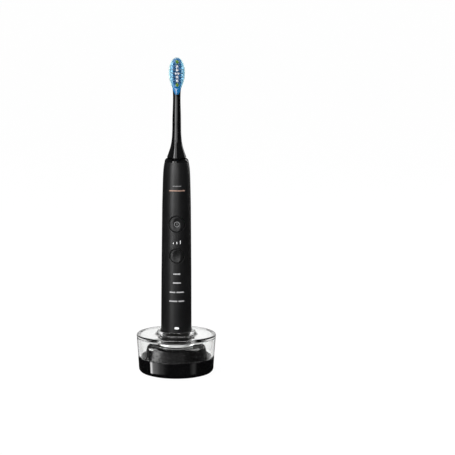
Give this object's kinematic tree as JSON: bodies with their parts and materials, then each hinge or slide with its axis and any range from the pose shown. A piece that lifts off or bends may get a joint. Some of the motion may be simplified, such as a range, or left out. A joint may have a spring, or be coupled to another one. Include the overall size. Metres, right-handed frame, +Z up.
{
  "type": "electric toothbrush on charger",
  "caption": "Electric toothbrush with a slim round handle and removable brush head, standing in a clear holder on a round inductive charging base.",
  "frame": {"origin": "middle of the foot of the charging base, on the surface that it stands on", "axes": "+Z up along the handle; the buttons and the bristles face -Y; the cord inlet faces +Y"},
  "size_m": [0.07, 0.07, 0.2783],
  "materials": {
    "gloss_black": "polished black plastic",
    "satin_black": "fine satin black plastic",
    "black_rubber": "smooth black rubber",
    "clear_plastic": "clear moulded plastic",
    "light_window": "white translucent window, lit from behind",
    "steel": "bright steel",
    "core_steel": "dark sheet steel",
    "magnet_nickel": "nickel-plated magnet",
    "bronze": "sintered bronze",
    "copper_wire": "wound enamelled copper wire",
    "ferrite": "dark grey ferrite",
    "former_plastic": "natural white plastic",
    "battery_can": "can in a plain blue sleeve",
    "circuit_board": "green solder mask",
    "electronic_parts": "black moulded parts",
    "blue_plastic": "translucent blue plastic",
    "soft_clear_blue": "soft clear blue elastomer",
    "white_bristle": "white nylon bristles",
    "green_bristle": "green nylon bristles",
    "blue_bristle": "blue nylon bristles",
    "light_blue_bristle": "light blue nylon bristles"
  },
  "bodies": {
    "charger": {"charger_base": "gloss_black", "charger_dome": "gloss_black", "foot_ring": "black_rubber", "base_screws": "steel", "cord_gland": "black_rubber", "primary_coil": "copper_wire", "coil_bobbin": "former_plastic", "coil_core": "ferrite", "charger_board": "circuit_board", "charger_parts": "electronic_parts"},
    "stand": {"clear_stand": "clear_plastic"},
    "handle": {"handle_shell": "satin_black", "end_cap": "satin_black", "top_collar": "gloss_black", "shaft_seal": "black_rubber", "end_seal": "black_rubber", "button_seals": "black_rubber", "level_windows": "light_window", "mode_windows": "light_window", "charge_window": "light_window", "receiver_bobbin": "former_plastic", "receiver_coil": "copper_wire", "receiver_core": "ferrite", "inner_frame": "former_plastic", "battery": "battery_can", "battery_tabs": "steel", "circuit_board": "circuit_board", "switch_bodies": "electronic_parts", "board_chips": "electronic_parts", "indicator_leds": "light_window", "frame_screws": "steel", "drive_screws": "steel", "drive_housing": "former_plastic", "drive_end_plate": "former_plastic", "stator_core": "core_steel", "stator_coils": "copper_wire", "front_bearing": "bronze", "rear_bearing": "bronze"},
    "shaft": {"drive_shaft": "steel", "rotor_hub": "core_steel", "rotor_magnets": "magnet_nickel"},
    "head": {"head_stem": "gloss_black", "head_clip": "steel", "head_tag": "circuit_board", "head_plate": "blue_plastic", "head_rim": "soft_clear_blue", "tufts_white": "white_bristle", "tufts_green": "green_bristle", "tufts_blue": "blue_bristle", "tufts_light_blue": "light_blue_bristle"},
    "upper_button": {"power_button": "satin_black", "power_plunger": "electronic_parts"},
    "lower_button": {"level_button": "satin_black", "level_plunger": "electronic_parts"}
  },
  "joints": [
    {"name": "stand_lift", "type": "slide", "parent": "charger", "child": "stand", "axis": [0, 0, 1], "range_m": [0, 0.015]},
    {"name": "handle_lift", "type": "slide", "parent": "stand", "child": "handle", "axis": [0, 0, 1], "range_m": [0, 0.02]},
    {"name": "shaft_swing", "type": "hinge", "parent": "handle", "child": "shaft", "pos_m": [0, 0, 0.165], "axis": [0, 0, 1], "range_deg": [-5.5, 5.5], "stiffness_Nm_per_rad": 0.05},
    {"name": "head_pull", "type": "slide", "parent": "shaft", "child": "head", "axis": [0, 0, 1], "range_m": [0, 0.027]},
    {"name": "upper_button_press", "type": "slide", "parent": "handle", "child": "upper_button", "axis": [0, 1, 0], "range_m": [0, 0.00045], "stiffness_N_per_m": 1500, "springref_m": -0.0005},
    {"name": "lower_button_press", "type": "slide", "parent": "handle", "child": "lower_button", "axis": [0, 1, 0], "range_m": [0, 0.00045], "stiffness_N_per_m": 1500, "springref_m": -0.0005}
  ]
}
